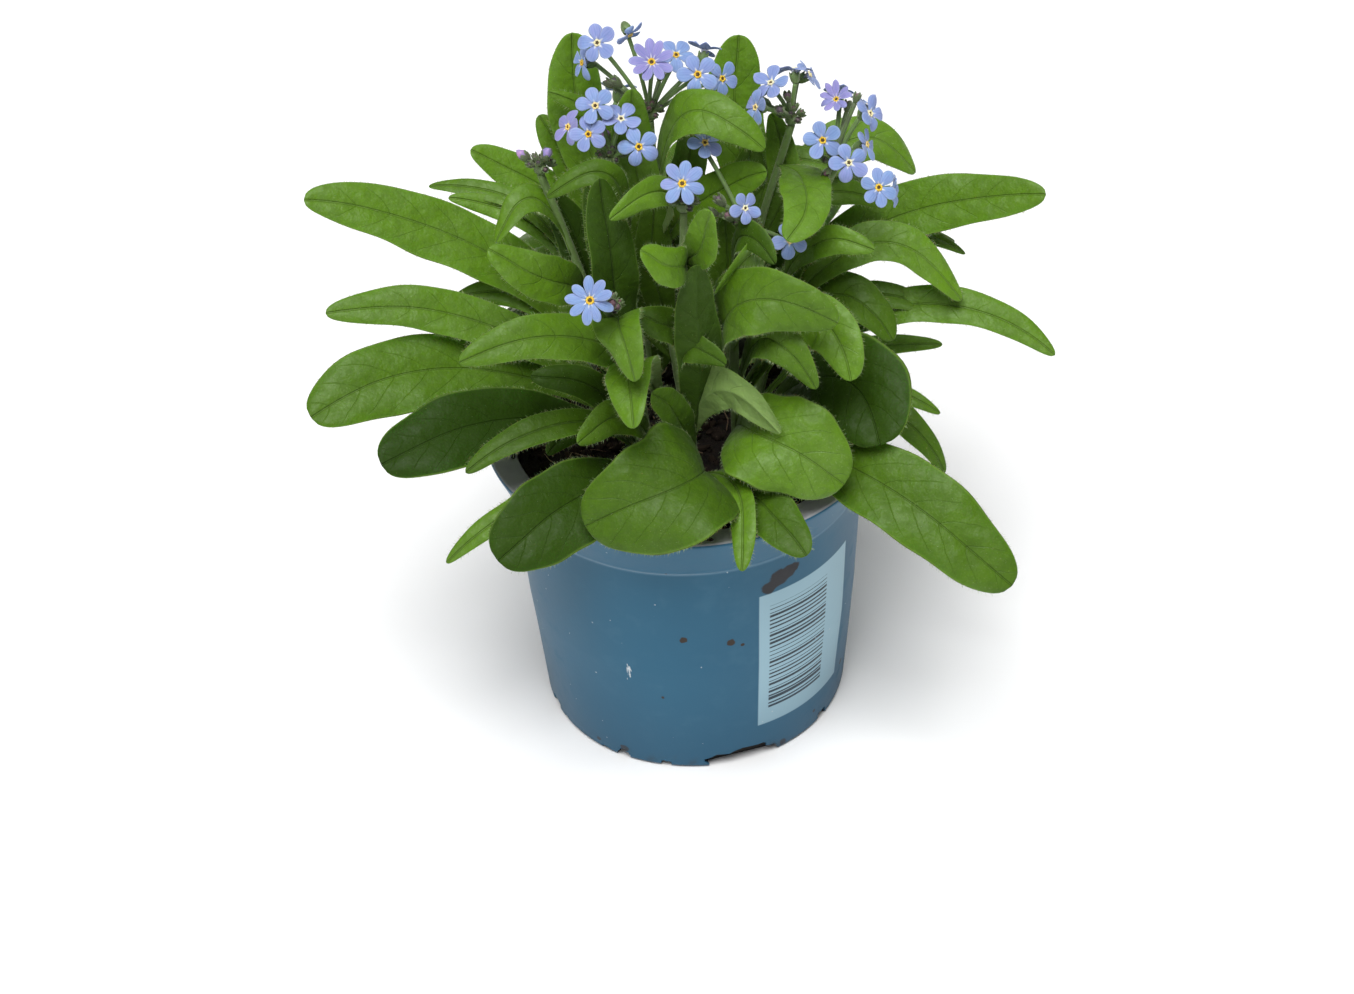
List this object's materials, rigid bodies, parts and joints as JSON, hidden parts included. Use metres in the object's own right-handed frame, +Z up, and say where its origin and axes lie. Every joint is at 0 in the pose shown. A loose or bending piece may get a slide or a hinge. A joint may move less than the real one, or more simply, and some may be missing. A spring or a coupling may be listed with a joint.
{
  "type": "potted forget-me-not plant",
  "caption": "Bushy forget-me-not plant with spoon-shaped leaves and sprays of small blue flowers, growing in a tapered round nursery pot that stands on its flat foot.",
  "frame": {"origin": "centre of the pot's underside, on the ground plane", "axes": "+Z up along the pot's axis, +X to the right of the pictured view, -Y towards its viewer"},
  "size_m": [0.1897, 0.1389, 0.2003],
  "materials": {
    "pot": "printed blue plastic with a soft sheen and a grey lip",
    "soil": "dark crumbly peat",
    "leaves": "soft green leaf with fine hairs and a low sheen",
    "petals": "matt pale blue petal with a yellow and white throat"
  },
  "bodies": {
    "root": {"pot": "pot", "soil": "soil", "flowers_left": "petals", "flowers_front_left": "petals", "flowers_front": "petals", "flowers_front_right": "petals", "flowers_right": "petals", "flowers_back_right": "petals", "flowers_back_left": "petals", "flowers_centre": "petals", "flowers_low_left": "petals", "flowers_far_right": "petals", "leafy_stem_left": "leaves", "leafy_stem_front_left": "leaves", "leafy_stem_front": "leaves", "leafy_stem_front_right": "leaves", "leafy_stem_right": "leaves", "leafy_stem_back_right": "leaves", "leafy_stem_back_left": "leaves", "leafy_stem_centre": "leaves", "leafy_stem_low_left": "leaves", "leafy_stem_far_right": "leaves"}
  },
  "joints": []
}
